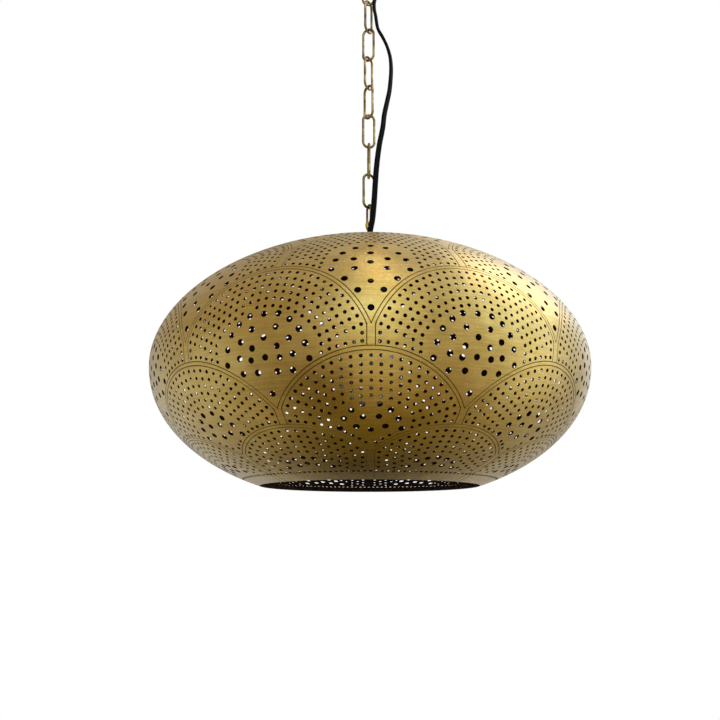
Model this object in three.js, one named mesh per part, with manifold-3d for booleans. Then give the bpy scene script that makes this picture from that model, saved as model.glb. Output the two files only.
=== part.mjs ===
// Hanging lantern: a pierced brass shade on a chain, with its ceiling fitting, cord, lampholder and bulb.
// Millimetres, +Z up. The origin is the middle of the crossbar's top face, where it meets the ceiling.

import * as THREE from 'three';
import { mergeVertices } from 'three/addons/utils/BufferGeometryUtils.js';
import Module from 'manifold-3d';

const wasm = await Module();
wasm.setup();

// ---- Driving dimensions -------------------------------------------------------------------------

const GAP = 0.3; // left between pieces that touch on the real object

// Shade: a flattened globe whose outline is two superellipse arcs, cut off at the rim.
const EQUATOR_Z = -480;
const SHADE_RADIUS = 200;
const SHADE_HALF_HEIGHT = 119.5;
const CROWN_EXPONENT = 1.9;
const FOOT_EXPONENT = 2.07;
const RIM_DROP = 105;
const SHADE_WALL = 1;
const CROWN_HOLE_RADIUS = 5.7;

// Chain: equal links, then one short connecting link. Each link is turned about the chain's axis.
const LINK_PITCH = 32.2;
const LINK_WIDTH = 14;
const LINK_WIRE = 2.7;
const LINK_TURNS = [0, 55, -20, 50, -45, 10, -85, 25];
const CONNECTOR_PITCH = 17.7;
const CONNECTOR_WIDTH = 10.6;
const CONNECTOR_WIRE = 2.4;
const CONNECTOR_TURN = -65;

// Places along the axis where one ring bears on the next.
const CHAIN_TOP_Z = EQUATOR_Z + 424.2;
const CHAIN_FOOT_Z = CHAIN_TOP_Z - LINK_TURNS.length * LINK_PITCH;
const CONNECTOR_FOOT_Z = CHAIN_FOOT_Z - CONNECTOR_PITCH;

// Ceiling fitting.
const CROSSBAR = { length: 90, width: 16, thickness: 2.5, slotOffset: 36, slotRadius: 2.3, slotRun: 5 };
const STEM_RADIUS = 4;
const CEILING_RING = { radius: 8.3, wireRadius: 1.8 };
const CANOPY = { radius: 50, flatRadius: 21, top: -0.3, bottom: -30.7, wall: 1.2 };
const BUSH_X = 14;
const BUSH = { bore: 3.2, bodyRadius: 4.3, flangeRadius: 5.8, tipRadius: 3.9, top: -24, tip: -50 };
const BLOCK = { low: 6.5, high: 21.5, halfDepth: 8, top: -2.8, bottom: -13 };

// Flat twin-core power cord, and the route of its centre, top end first.
const CORD_WIDTH = 5.6;
const CORD_THICKNESS = 3.6;
const CORD_ROUTE = [
  [14, 0, -13.3], [14, 0, -24], [14, 0, -36], [14, -0.2, -47], [13.3, -1.2, -58],
  [11, -3, -70], [8.4, -4.6, -80], [6, -5.2, -90], [6, -5, -98], [7.4, -4.8, -106],
  [9.7, -4.8, -121], [14.3, -5, -130.5], [18.9, -5, -141.5], [22, -5, -154], [22.8, -5, -166.5],
  [22.2, -5, -179], [20.8, -5, -192], [18.4, -5, -204], [15.7, -5, -217], [14, -5, -231.5],
  [10.4, -5.2, -251], [7.6, -5.6, -274], [6.2, -6.4, -293], [5, -7.6, -312], [3.2, -9, -331],
  [1.1, -9.5, -342.5], [0.4, -6.1, -348.5], [0.1, -2.7, -354], [0, -0.6, -359], [0, 0, -364],
  [0, 0, -378], [0, 0, -393.7],
];
// The cord is one length on the real lantern. Here it is split at the heights where it passes from
// one moving body to the next. Between the twist heights its broad side turns to face the front.
const CORD_SPLITS_Z = [-88, -123, -287, -322];
const CORD_TWIST = { topZ: -140, topTurn: 75, footZ: -325 };
const CORD_STEP = 10;

// Lampholder and bulb, as heights above the equator.
const NIPPLE = { radius: 5, bore: 3.9, top: 123, bottom: 97 };
const HOLDER_RADIUS = 20.5;
const BULB_RADIUS = 30;
const BULB_NECK_RADIUS = 11.8;
const BULB_WALL = 0.8;
const FILAMENTS = 4;

const ROUND_SEGMENTS = 20;
const SHADE_SEGMENTS = 56;
const WIRE_SEGMENTS = 7;
const RING_SEGMENTS = 16;

// ---- Materials ----------------------------------------------------------------------------------

const agedBrass = new THREE.MeshStandardMaterial({ color: 0x9a8048, roughness: 0.42, metalness: 1 });
const darkBrass = new THREE.MeshStandardMaterial({ color: 0x7a6234, roughness: 0.38, metalness: 1 });
const brightBrass = new THREE.MeshStandardMaterial({ color: 0xb99a56, roughness: 0.35, metalness: 1 });
const zincSteel = new THREE.MeshStandardMaterial({ color: 0xb4b6b4, roughness: 0.4, metalness: 1 });
const blackPlastic = new THREE.MeshStandardMaterial({ color: 0x151515, roughness: 0.5, metalness: 0 });
const whitePlastic = new THREE.MeshStandardMaterial({ color: 0xe6e3da, roughness: 0.45, metalness: 0 });
const clearGlass = new THREE.MeshStandardMaterial({
  color: 0xf4f4f0, roughness: 0.05, metalness: 0, transparent: true, opacity: 0.35,
});
const filamentYellow = new THREE.MeshStandardMaterial({ color: 0xe0b84a, roughness: 0.6, metalness: 0 });

// ---- Shared helpers -----------------------------------------------------------------------------

const lantern = new THREE.Group();

function addPart(name, geometry, material) {
  const mesh = new THREE.Mesh(geometry, material);
  mesh.name = name;
  lantern.add(mesh);
  return mesh;
}

// Turns an outline of [radius, z] points about the Z axis.
function turned(outline, segments = ROUND_SEGMENTS) {
  const points = outline.map(([radius, z]) => new THREE.Vector2(radius, z));
  return new THREE.LatheGeometry(points, segments).rotateX(Math.PI / 2);
}

function ring(inner, outer, low, high, segments) {
  return turned([[inner, low], [outer, low], [outer, high], [inner, high], [inner, low]], segments);
}

function disc(radius, low, high, segments) {
  return turned([[0, low], [radius, low], [radius, high], [0, high]], segments);
}

function plate(shape, low, high) {
  const geometry = new THREE.ExtrudeGeometry(shape, { depth: high - low, bevelEnabled: false, curveSegments: 6 });
  return geometry.translate(0, 0, low);
}

function circlePath(radius, x = 0, y = 0) {
  return new THREE.Path().absarc(x, y, radius, 0, 2 * Math.PI, true);
}

function hexNut(acrossFlats, holeRadius, low, high) {
  const shape = new THREE.Shape();
  for (let corner = 0; corner < 6; corner += 1) {
    const angle = (corner + 0.5) * Math.PI / 3;
    const radius = acrossFlats / 2 / Math.cos(Math.PI / 6);
    const point = [radius * Math.cos(angle), radius * Math.sin(angle)];
    if (corner === 0) shape.moveTo(...point);
    else shape.lineTo(...point);
  }
  shape.closePath();
  shape.holes.push(circlePath(holeRadius));
  return plate(shape, low, high);
}

function toSolid(geometry) {
  const bare = geometry.index ? geometry.toNonIndexed() : geometry.clone();
  bare.deleteAttribute('normal');
  bare.deleteAttribute('uv');
  const merged = mergeVertices(bare, 1e-4);
  const solid = new wasm.Mesh({
    numProp: 3,
    vertProperties: new Float32Array(merged.attributes.position.array),
    triVerts: new Uint32Array(merged.index.array),
  });
  solid.merge();
  return new wasm.Manifold(solid);
}

function toGeometry(solid) {
  const mesh = solid.getMesh();
  const geometry = new THREE.BufferGeometry();
  geometry.setAttribute('position', new THREE.BufferAttribute(new Float32Array(mesh.vertProperties), 3));
  geometry.setIndex(new THREE.BufferAttribute(new Uint32Array(mesh.triVerts), 1));
  geometry.computeVertexNormals();
  return geometry;
}

function cut(geometry, ...tools) {
  return toGeometry(tools.reduce((solid, tool) => solid.subtract(toSolid(tool)), toSolid(geometry)));
}

function join(geometry, ...others) {
  return toGeometry(others.reduce((solid, other) => solid.add(toSolid(other)), toSolid(geometry)));
}

// ---- Chain --------------------------------------------------------------------------------------

// A ring in the XZ plane, pulled out along Z so that it is `pitch` long inside.
function linkGeometry(pitch, width, wire) {
  const ringRadius = (width - wire) / 2;
  const stretch = (pitch + GAP + 2 * wire - width) / 2;
  const geometry = new THREE.TorusGeometry(ringRadius, wire / 2, WIRE_SEGMENTS, RING_SEGMENTS);
  geometry.rotateZ(Math.PI / RING_SEGMENTS);
  geometry.rotateX(Math.PI / 2);
  const place = geometry.attributes.position;
  for (let index = 0; index < place.count; index += 1) {
    const z = place.getZ(index);
    place.setZ(index, z + Math.sign(z) * stretch);
  }
  return geometry;
}

function addLink(name, topZ, pitch, width, wire, turn) {
  const link = addPart(name, linkGeometry(pitch, width, wire), darkBrass);
  link.position.z = topZ - pitch / 2;
  link.rotation.z = THREE.MathUtils.degToRad(turn);
}

function addChain() {
  LINK_TURNS.forEach((turn, index) => {
    const topZ = CHAIN_TOP_Z - index * LINK_PITCH;
    addLink(`chain_link_${index + 1}`, topZ, LINK_PITCH, LINK_WIDTH, LINK_WIRE, turn);
  });
  addLink('connecting_link', CHAIN_FOOT_Z, CONNECTOR_PITCH, CONNECTOR_WIDTH, CONNECTOR_WIRE, CONNECTOR_TURN);
}

// ---- Ceiling fitting ----------------------------------------------------------------------------

function slotPath(x, run, radius) {
  const path = new THREE.Path();
  path.absarc(x - run / 2, 0, radius, Math.PI / 2, Math.PI * 1.5, false);
  path.absarc(x + run / 2, 0, radius, -Math.PI / 2, Math.PI / 2, false);
  path.closePath();
  return path;
}

function addCrossbar() {
  const { length, width, thickness, slotOffset, slotRadius, slotRun } = CROSSBAR;
  const endRadius = width / 2;
  const shape = new THREE.Shape();
  shape.absarc(length / 2 - endRadius, 0, endRadius, -Math.PI / 2, Math.PI / 2, false);
  shape.absarc(endRadius - length / 2, 0, endRadius, Math.PI / 2, Math.PI * 1.5, false);
  shape.closePath();
  shape.holes.push(circlePath(STEM_RADIUS + GAP));
  shape.holes.push(slotPath(slotOffset, slotRun, slotRadius));
  shape.holes.push(slotPath(-slotOffset, slotRun, slotRadius));
  addPart('crossbar', plate(shape, -thickness, 0), zincSteel);
}

// The ring stands across the first link, so its plane holds the Y axis.
function addCeilingEye() {
  const { radius, wireRadius } = CEILING_RING;
  const centreZ = CHAIN_TOP_Z - GAP / 2 + radius - wireRadius;
  const loop = new THREE.TorusGeometry(radius, wireRadius, WIRE_SEGMENTS, RING_SEGMENTS).rotateY(Math.PI / 2);
  loop.translate(0, 0, centreZ);
  const stem = disc(STEM_RADIUS, centreZ + radius, -0.4);
  const shoulder = disc(STEM_RADIUS + 2.2, centreZ + radius + 1, centreZ + radius + 3.2);
  addPart('ceiling_eye', join(stem, shoulder, loop), darkBrass);
  return centreZ + radius + 3.2;
}

function canopyOutline() {
  const { radius, flatRadius, top, bottom, wall } = CANOPY;
  const steps = 6;
  const side = (inset) => {
    const points = [];
    for (let step = 0; step <= steps; step += 1) {
      const angle = (step / steps) * Math.PI / 2;
      const reach = (radius - flatRadius - inset) * Math.sin(angle);
      const drop = (top - bottom - inset) * Math.cos(angle);
      points.push([flatRadius + reach, top - drop]);
    }
    return points;
  };
  const hole = STEM_RADIUS + 0.5;
  const outside = [[hole, bottom], ...side(0)];
  const inside = [[hole, bottom + wall], ...side(wall)].reverse();
  return [...outside, ...inside, [hole, bottom]];
}

function addCanopy(shoulderZ) {
  const cordHole = disc(BUSH.bodyRadius + GAP, CANOPY.bottom - 5, CANOPY.bottom + 5).translate(BUSH_X, 0, 0);
  addPart('canopy', cut(turned(canopyOutline(), 32), cordHole), agedBrass);
  addPart('canopy_nut', ring(STEM_RADIUS + GAP, 7.6, shoulderZ + GAP, CANOPY.bottom - GAP), darkBrass);
  const nutTop = -CROSSBAR.thickness - GAP;
  addPart('lock_nut', hexNut(12, STEM_RADIUS + GAP, nutTop - 5, nutTop), zincSteel);
}

// Tapered strain relief: its flange bears under the canopy, and its nut closes above the canopy wall.
function addCordBush() {
  const { bore, bodyRadius, flangeRadius, tipRadius, top, tip } = BUSH;
  const flangeTop = CANOPY.bottom - GAP;
  const outline = [
    [bore, tip], [tipRadius, tip], [flangeRadius - 0.8, flangeTop - 3], [flangeRadius, flangeTop - 2.6],
    [flangeRadius, flangeTop], [bodyRadius, flangeTop], [bodyRadius, top], [bore, top], [bore, tip],
  ];
  addPart('cord_bush', turned(outline, 14), blackPlastic).position.x = BUSH_X;
  const nutLow = CANOPY.bottom + CANOPY.wall + GAP;
  const nut = hexNut(2 * flangeRadius, bodyRadius + GAP, nutLow, nutLow + 3);
  addPart('cord_bush_nut', nut, blackPlastic).position.x = BUSH_X;
}

function addTerminalBlock() {
  const { low, high, halfDepth, top, bottom } = BLOCK;
  const screwZ = (top + bottom) / 2;
  const body = new THREE.BoxGeometry(high - low, 2 * halfDepth, top - bottom);
  body.translate((low + high) / 2, 0, screwZ);
  const sides = [-1, 1];
  const place = (side) => (low + high) / 2 + side * 3.7;
  const wells = sides.map((side) => disc(2.2, 0, 6, 12).rotateX(Math.PI / 2).translate(place(side), -3, screwZ));
  addPart('terminal_block', cut(body, ...wells), whitePlastic);
  sides.forEach((side, index) => {
    const screw = disc(1.8, 0, 3, 12).rotateX(Math.PI / 2).translate(place(side), -3.4, screwZ);
    addPart(`block_screw_${index + 1}`, screw, brightBrass);
  });
}

// ---- Cord ---------------------------------------------------------------------------------------

function cordSection() {
  const shape = new THREE.Shape();
  for (let corner = 0; corner < 8; corner += 1) {
    const angle = (corner + 0.5) * Math.PI / 4;
    const point = [CORD_THICKNESS / 2 * Math.cos(angle), CORD_WIDTH / 2 * Math.sin(angle)];
    if (corner === 0) shape.moveTo(...point);
    else shape.lineTo(...point);
  }
  shape.closePath();
  return shape;
}

function cordTurn(z) {
  const { topZ, topTurn, footZ } = CORD_TWIST;
  const share = THREE.MathUtils.clamp((z - footZ) / (topZ - footZ), 0, 1);
  return THREE.MathUtils.degToRad(topTurn * share);
}

// A stretch of the whole cord, whose frames follow the cord's own twist.
class CordStretch extends THREE.Curve {
  constructor(whole, from, to) {
    super();
    Object.assign(this, { whole, from, to });
  }

  getPoint(t) {
    return this.whole.getPointAt(this.from + (this.to - this.from) * t);
  }

  computeFrenetFrames(steps) {
    const frames = { tangents: [], normals: [], binormals: [] };
    for (let step = 0; step <= steps; step += 1) {
      const share = this.from + (this.to - this.from) * step / steps;
      const tangent = this.whole.getTangentAt(share);
      const turn = cordTurn(this.whole.getPointAt(share).z);
      const broad = new THREE.Vector3(Math.cos(turn), Math.sin(turn), 0);
      const normal = new THREE.Vector3().crossVectors(broad, tangent).normalize();
      frames.tangents.push(tangent);
      frames.normals.push(normal);
      frames.binormals.push(new THREE.Vector3().crossVectors(tangent, normal));
    }
    return frames;
  }
}

function shareAtHeight(curve, z) {
  let [above, below] = [0, 1];
  for (let round = 0; round < 40; round += 1) {
    const middle = (above + below) / 2;
    if (curve.getPointAt(middle).z > z) above = middle;
    else below = middle;
  }
  return above;
}

function addCord() {
  const whole = new THREE.CatmullRomCurve3(CORD_ROUTE.map((point) => new THREE.Vector3(...point)));
  whole.arcLengthDivisions = 2000;
  const length = whole.getLength();
  const splits = CORD_SPLITS_Z.map((z) => shareAtHeight(whole, z));
  const starts = [0, ...splits.map((share) => share + GAP / length)];
  const ends = [...splits, 1];
  starts.forEach((from, index) => {
    const path = new CordStretch(whole, from, ends[index]);
    const steps = Math.round((ends[index] - from) * length / CORD_STEP);
    const tube = new THREE.ExtrudeGeometry(cordSection(), { steps, extrudePath: path, bevelEnabled: false });
    addPart(`power_cord_${index + 1}`, tube, blackPlastic);
  });
}

// ---- Shade --------------------------------------------------------------------------------------

// The outline's point for the angle t: -90 degrees at the foot, 0 at the equator, 90 at the crown.
function shadePoint(t) {
  const exponent = t >= 0 ? CROWN_EXPONENT : FOOT_EXPONENT;
  const radius = SHADE_RADIUS * Math.cos(t) ** (2 / exponent);
  const height = Math.sign(t) * SHADE_HALF_HEIGHT * Math.abs(Math.sin(t)) ** (2 / exponent);
  return new THREE.Vector2(radius, EQUATOR_Z + height);
}

function shadeOutline() {
  const rimAngle = -Math.asin((RIM_DROP / SHADE_HALF_HEIGHT) ** (FOOT_EXPONENT / 2));
  const crownAngle = Math.acos((CROWN_HOLE_RADIUS / SHADE_RADIUS) ** (CROWN_EXPONENT / 2));
  const steps = 13;
  const outside = [];
  const inside = [];
  for (let step = 0; step <= steps; step += 1) {
    const t = rimAngle + (crownAngle - rimAngle) * step / steps;
    const here = shadePoint(t);
    const along = shadePoint(t + 0.001).sub(shadePoint(t - 0.001)).normalize();
    outside.push([here.x, here.y]);
    inside.push([here.x - along.y * SHADE_WALL, here.y + along.x * SHADE_WALL]);
  }
  inside[0][1] = outside[0][1];
  inside[steps][0] = outside[steps][0];
  return [...outside, ...inside.reverse(), outside[0]];
}

function addShade() {
  addPart('shade', turned(shadeOutline(), SHADE_SEGMENTS), agedBrass);
}

// ---- Crown fittings -----------------------------------------------------------------------------

const up = (height) => EQUATOR_Z + height;

// Cast loop: a bell that takes the threaded tube, a slanted wire way in its front, and a small eye.
function addShadeLoop() {
  const eyeRadius = 4.6;
  const wireRadius = 1.2;
  const eyeZ = CONNECTOR_FOOT_Z + GAP / 2 - eyeRadius + wireRadius;
  const bell = turned([
    [0, up(121.4)], [10.5, up(121.4)], [10.5, up(126)], [9.8, up(130)], [7.6, up(133)], [4, up(134.6)],
    [2.5, up(137)], [2.2, eyeZ - eyeRadius], [0, eyeZ - eyeRadius],
  ]);
  const eye = new THREE.TorusGeometry(eyeRadius, wireRadius, WIRE_SEGMENTS, RING_SEGMENTS);
  eye.rotateX(Math.PI / 2);
  eye.rotateZ(THREE.MathUtils.degToRad(CONNECTOR_TURN + 125));
  eye.translate(0, 0, eyeZ);
  const thread = disc(NIPPLE.radius + GAP, up(120), up(NIPPLE.top + 1));
  const wireWay = disc(3.5, -5, 30).rotateX(THREE.MathUtils.degToRad(30)).translate(0, -2.2, up(125));
  addPart('shade_loop', cut(join(bell, eye), thread, wireWay), agedBrass);
}

function addCrownStack() {
  const washerHole = NIPPLE.radius + GAP;
  addPart('outer_washer', ring(washerHole, 18, up(119.8), up(121.1)), agedBrass);
  addPart('inner_washer', ring(washerHole, 14, up(115.9), up(117.3)), zincSteel);
  addPart('inner_nut', hexNut(14, washerHole, up(111.6), up(115.6)), zincSteel);
  addPart('threaded_tube', ring(NIPPLE.bore, NIPPLE.radius, up(NIPPLE.bottom), up(NIPPLE.top)), brightBrass);
}

// ---- Lampholder ---------------------------------------------------------------------------------

function addLampholder() {
  const wall = 1.3;
  const cap = turned([
    [NIPPLE.radius + GAP, up(98.2)], [13.3, up(95.6)], [18.6, up(90.5)], [HOLDER_RADIUS - wall, up(84)],
    [HOLDER_RADIUS, up(84)], [HOLDER_RADIUS - 0.4, up(91.2)], [14, up(97.2)], [8, up(99.8)], [8, up(104)],
    [NIPPLE.radius + GAP, up(104)], [NIPPLE.radius + GAP, up(98.2)],
  ]);
  addPart('holder_cap', cap, agedBrass);
  addPart('holder_body', ring(HOLDER_RADIUS - wall, HOLDER_RADIUS, up(44), up(83.7)), blackPlastic);
  addPart('holder_ring', ring(HOLDER_RADIUS + GAP, 25, up(60), up(66)), blackPlastic);
  addPart('holder_insert', disc(HOLDER_RADIUS - wall - GAP, up(76), up(86)), whitePlastic);
  [-1, 1].forEach((side, index) => {
    const screw = disc(2.6, up(86.3), up(88.6), 12).translate(side * 11, 0, 0);
    addPart(`holder_screw_${index + 1}`, screw, brightBrass);
  });
  addPart('centre_contact', disc(4, up(73.2), up(75.7), 16), brightBrass);
  addPart('screw_shell', ring(13.7, 14.7, up(50), up(75.7)), brightBrass);
}

// ---- Bulb ---------------------------------------------------------------------------------------

// From the open end of the neck, over the shoulder and the globe, to the pole at the bottom.
function bulbSkin(inset) {
  const neck = BULB_NECK_RADIUS - inset;
  const globe = BULB_RADIUS - inset;
  const points = [[neck, up(60)], [neck, up(46)], [neck + 2, up(38)], [neck + 5.8, up(29)]];
  for (let step = 0; step <= 6; step += 1) {
    const polar = THREE.MathUtils.degToRad(48 + 22 * step);
    points.push([step === 6 ? 0 : globe * Math.sin(polar), up(globe * Math.cos(polar))]);
  }
  return points;
}

function addBulb() {
  const cap = turned([
    [12.2, up(47)], [13.2, up(47)], [13.2, up(66)], [6, up(70.5)], [0, up(70.5)], [0, up(69.3)],
    [5.4, up(69.3)], [12.2, up(65.2)], [12.2, up(47)],
  ]);
  addPart('bulb_cap', cap, brightBrass);
  addPart('bulb_contact', disc(4.2, up(70.8), up(72.6), 16), zincSteel);
  const glass = [...bulbSkin(BULB_WALL), ...bulbSkin(0).reverse()];
  addPart('bulb_glass', turned([...glass, glass[0]]), clearGlass);
  const stem = [[0, up(10)], [1.6, up(10)], [1.6, up(40)], [4.5, up(52)], [4.5, up(58)], [0, up(58)]];
  addPart('bulb_stem', turned(stem, 16), clearGlass);
  for (let index = 0; index < FILAMENTS; index += 1) {
    const filament = disc(0.9, -17, 17, 8).rotateX(THREE.MathUtils.degToRad(-9)).translate(0, 7.5, up(24));
    const mesh = addPart(`filament_${index + 1}`, filament, filamentYellow);
    mesh.rotation.z = (index + 0.5) * 2 * Math.PI / FILAMENTS;
  }
}

// ---- Assembly -----------------------------------------------------------------------------------

addCrossbar();
addCanopy(addCeilingEye());
addCordBush();
addTerminalBlock();
addChain();
addCord();
addShade();
addShadeLoop();
addCrownStack();
addLampholder();
addBulb();

export default lantern;
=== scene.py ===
"""Hanging lantern: a pierced and engraved brass shade on a chain, with its ceiling fitting, cord,
lampholder and bulb, +Z up. The pieces' sizes and places are in millimetres and are multiplied by
MM. The cord's section and twist, the camera, the shaders and the stage are in metres."""

import math
import random

import bmesh
import bpy
import numpy as np
from mathutils import Matrix, Vector
from mathutils.geometry import delaunay_2d_cdt
from mathutils.kdtree import KDTree


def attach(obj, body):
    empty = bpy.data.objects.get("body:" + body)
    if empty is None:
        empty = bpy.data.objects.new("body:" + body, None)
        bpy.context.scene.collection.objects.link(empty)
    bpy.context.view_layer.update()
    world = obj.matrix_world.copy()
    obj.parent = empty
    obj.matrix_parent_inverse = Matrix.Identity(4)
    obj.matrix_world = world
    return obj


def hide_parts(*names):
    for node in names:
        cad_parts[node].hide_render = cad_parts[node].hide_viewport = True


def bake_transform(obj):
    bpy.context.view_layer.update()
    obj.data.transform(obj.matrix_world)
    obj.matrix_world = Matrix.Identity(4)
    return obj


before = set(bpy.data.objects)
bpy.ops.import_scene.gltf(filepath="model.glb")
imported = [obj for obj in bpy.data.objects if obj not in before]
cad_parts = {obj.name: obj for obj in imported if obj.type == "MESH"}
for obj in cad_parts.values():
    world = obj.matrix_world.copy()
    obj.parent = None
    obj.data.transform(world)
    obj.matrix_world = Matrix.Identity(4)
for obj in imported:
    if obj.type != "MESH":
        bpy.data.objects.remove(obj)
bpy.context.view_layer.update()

MM = 0.001


# ---- Camera -------------------------------------------------------------------------------------

CAMERA_PLACE = (0.0, -0.7366, -0.6264)
CAMERA_PITCH = 0.2127
CAMERA_YAW = 0.0119
CAMERA_LENS = 40.07


def add_camera():
    data = bpy.data.cameras.new("camera")
    data.sensor_width = 36
    data.lens = CAMERA_LENS
    data.clip_end = 50
    camera = bpy.data.objects.new("camera", data)
    camera.location = CAMERA_PLACE
    camera.rotation_euler = (math.pi / 2 + CAMERA_PITCH, 0, CAMERA_YAW)
    bpy.context.scene.collection.objects.link(camera)
    bpy.context.scene.camera = camera


add_camera()


# ---- Shader helpers -----------------------------------------------------------------------------


def new_material(name):
    material = bpy.data.materials.new(name)
    material.use_nodes = True
    tree = material.node_tree
    return material, tree, tree.nodes["Principled BSDF"]


def feed(socket, value):
    """Links an input to another node's output, or sets its own value."""
    if isinstance(value, bpy.types.NodeSocket):
        socket.id_data.links.new(value, socket)
    else:
        socket.default_value = value


def feed_inputs(node, **values):
    for name, value in values.items():
        feed(node.inputs[name.replace("_", " ")], value)


def add_node(tree, kind, *values, **named_values):
    """The first values go to the node's inputs in their order, the others by name."""
    node = tree.nodes.new(kind)
    for socket, value in zip(node.inputs, values):
        feed(socket, value)
    feed_inputs(node, **named_values)
    return node


def position(tree):
    return add_node(tree, "ShaderNodeTexCoord").outputs["Object"]


def noise(tree, vector, scale, detail=4.0, roughness=0.5):
    inputs = {"Vector": vector, "Scale": scale, "Detail": detail, "Roughness": roughness}
    return add_node(tree, "ShaderNodeTexNoise", **inputs).outputs["Fac"]


def ramp(tree, factor, stops):
    """stops are (position, colour) pairs; colours have three numbers."""
    node = add_node(tree, "ShaderNodeValToRGB", factor)
    elements = node.color_ramp.elements
    while len(elements) < len(stops):
        elements.new(0.5)
    for element, (place, colour) in zip(elements, stops):
        element.position = place
        element.color = (*colour, 1)
    return node.outputs["Color"]


def spread(tree, factor, low, high, start=0.3, end=0.7):
    """Goes from low to high while the factor goes from start to end."""
    return add_node(tree, "ShaderNodeMapRange", factor, start, end, low, high).outputs["Result"]


def maths(tree, operation, first, second):
    node = add_node(tree, "ShaderNodeMath", first, second)
    node.operation = operation
    return node.outputs["Value"]


def weighted(tree, layers):
    """The sum of layers, which are pairs of an output and its weight."""
    parts = [maths(tree, "MULTIPLY", output, weight) for output, weight in layers]
    total = parts[0]
    for part in parts[1:]:
        total = maths(tree, "ADD", total, part)
    return total


def bump(tree, shader, height, strength, distance, under=None):
    """Roughens the shader's surface, on top of the bump that under comes from."""
    node = add_node(tree, "ShaderNodeBump", Height=height, Strength=strength, Distance=distance)
    if under is not None:
        feed_inputs(node, Normal=under)
    feed_inputs(shader, Normal=node.outputs["Normal"])
    return node.outputs["Normal"]


def ring_vector(tree, drift):
    """A vector that changes across marks that run round the axis, and hardly along them."""
    x, y, z = add_node(tree, "ShaderNodeSeparateXYZ", position(tree)).outputs
    squares = [maths(tree, "MULTIPLY", part, part) for part in (x, y)]
    radius = maths(tree, "SQRT", maths(tree, "ADD", *squares), 0)
    along = maths(tree, "MULTIPLY", maths(tree, "ADD", x, y), drift)
    return add_node(tree, "ShaderNodeCombineXYZ", radius, z, along).outputs["Vector"]


# ---- Materials ----------------------------------------------------------------------------------

# Dark, middle and light colours of each metal.
SHADE_TONES = ((0.47, 0.283, 0.028), (0.68, 0.418, 0.07), (0.83, 0.58, 0.17))
# Inside of the shade: brown brass, made much darker as painted shade inside the closed hollow.
INSIDE_PAINTED_SHADE_TONES = ((0.05, 0.018, 0.004), (0.085, 0.034, 0.009), (0.14, 0.06, 0.016))
# Walls of the punched holes: near black as painted shade, so the holes look dark.
CUT_PAINTED_SHADE_TONES = ((0.03, 0.013, 0.006), (0.06, 0.028, 0.012), (0.11, 0.055, 0.02))
ENGRAVED_TONES = ((0.16, 0.09, 0.018), (0.25, 0.15, 0.03), (0.36, 0.23, 0.05))
LINK_TONES = ((0.12, 0.07, 0.022), (0.34, 0.23, 0.085), (0.62, 0.47, 0.21))
BRIGHT_TONES = ((0.6, 0.44, 0.18), (0.72, 0.55, 0.25), (0.8, 0.64, 0.32))
NICKEL_TONES = ((0.55, 0.55, 0.53), (0.68, 0.68, 0.66), (0.78, 0.78, 0.76))
ZINC_TONES = ((0.5, 0.51, 0.5), (0.62, 0.63, 0.62), (0.7, 0.71, 0.7))


def metal(name, tones, rough, grain=0.25, mottle=60.0, spun=0.0, anisotropy=0.0, haze=0.0):
    """Patinated metal. rough is its least and most roughness, grain the depth of its pores, mottle
    how fine its clouds are, spun the depth of the marks that run round the axis, and haze the
    weight of an old lacquer."""
    material, tree, shader = new_material(name)
    place = position(tree)
    tone = noise(tree, place, mottle, 6.0, 0.6)
    if spun:
        streaks = noise(tree, ring_vector(tree, 0.06), 620.0, 4.0, 0.75)
        patches = noise(tree, place, 14.0, 3.0, 0.6)
        grit = noise(tree, place, 850.0, 2.0, 0.8)
        tone = weighted(tree, [(tone, 0.25), (streaks, 0.42), (patches, 0.17), (grit, 0.16)])
    colour = ramp(tree, tone, list(zip((0.36, 0.5, 0.64), tones)))
    gloss = spread(tree, noise(tree, place, mottle * 7, 5.0, 0.6), *rough)
    feed_inputs(shader, Metallic=1.0, Base_Color=colour, Roughness=gloss)
    under = bump(tree, shader, noise(tree, place, 900.0, 3.0), grain, 0.00012)
    if spun:
        lines = noise(tree, ring_vector(tree, 0.05), 800.0, 4.0, 0.7)
        dents = noise(tree, place, 26.0, 2.0, 0.55)
        under = bump(tree, shader, lines, spun, 0.00025, under)
        bump(tree, shader, dents, 0.5, 0.0016, under)
    if haze:
        feed_inputs(shader, Coat_Weight=haze, Coat_Roughness=0.35, Coat_IOR=1.8)
    if anisotropy:
        tangent = add_node(tree, "ShaderNodeTangent")
        tangent.direction_type = "RADIAL"
        tangent.axis = "Z"
        feed_inputs(shader, Tangent=tangent.outputs["Tangent"])
        feed_inputs(shader, Anisotropic=anisotropy, Anisotropic_Rotation=0.25)
    return material


def plastic(name, colour, rough, grain=0.2, grain_scale=1500.0, specular=0.5):
    material, tree, shader = new_material(name)
    place = position(tree)
    low = tuple(0.86 * part for part in colour)
    tint = ramp(tree, noise(tree, place, 120.0, 4.0), [(0.35, low), (0.65, colour)])
    fine = noise(tree, place, grain_scale, 3.0)
    gloss = spread(tree, fine, *rough)
    feed_inputs(shader, Base_Color=tint, Roughness=gloss, Specular_IOR_Level=specular)
    bump(tree, shader, fine, grain, 0.00008)
    return material


def clear_glass(name):
    material, tree, shader = new_material(name)
    ripple = noise(tree, position(tree), 45.0, 2.0)
    feed_inputs(shader, Base_Color=(0.97, 0.97, 0.95, 1), Transmission_Weight=1.0, IOR=1.45)
    feed_inputs(shader, Roughness=spread(tree, ripple, 0.0, 0.02))
    bump(tree, shader, ripple, 0.15, 0.0004)
    return material


brass_outside = metal(
    "brass_outside", SHADE_TONES, (0.25, 0.37), 0.5, 45.0, spun=0.65, anisotropy=0.6, haze=0.6,
)
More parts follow.
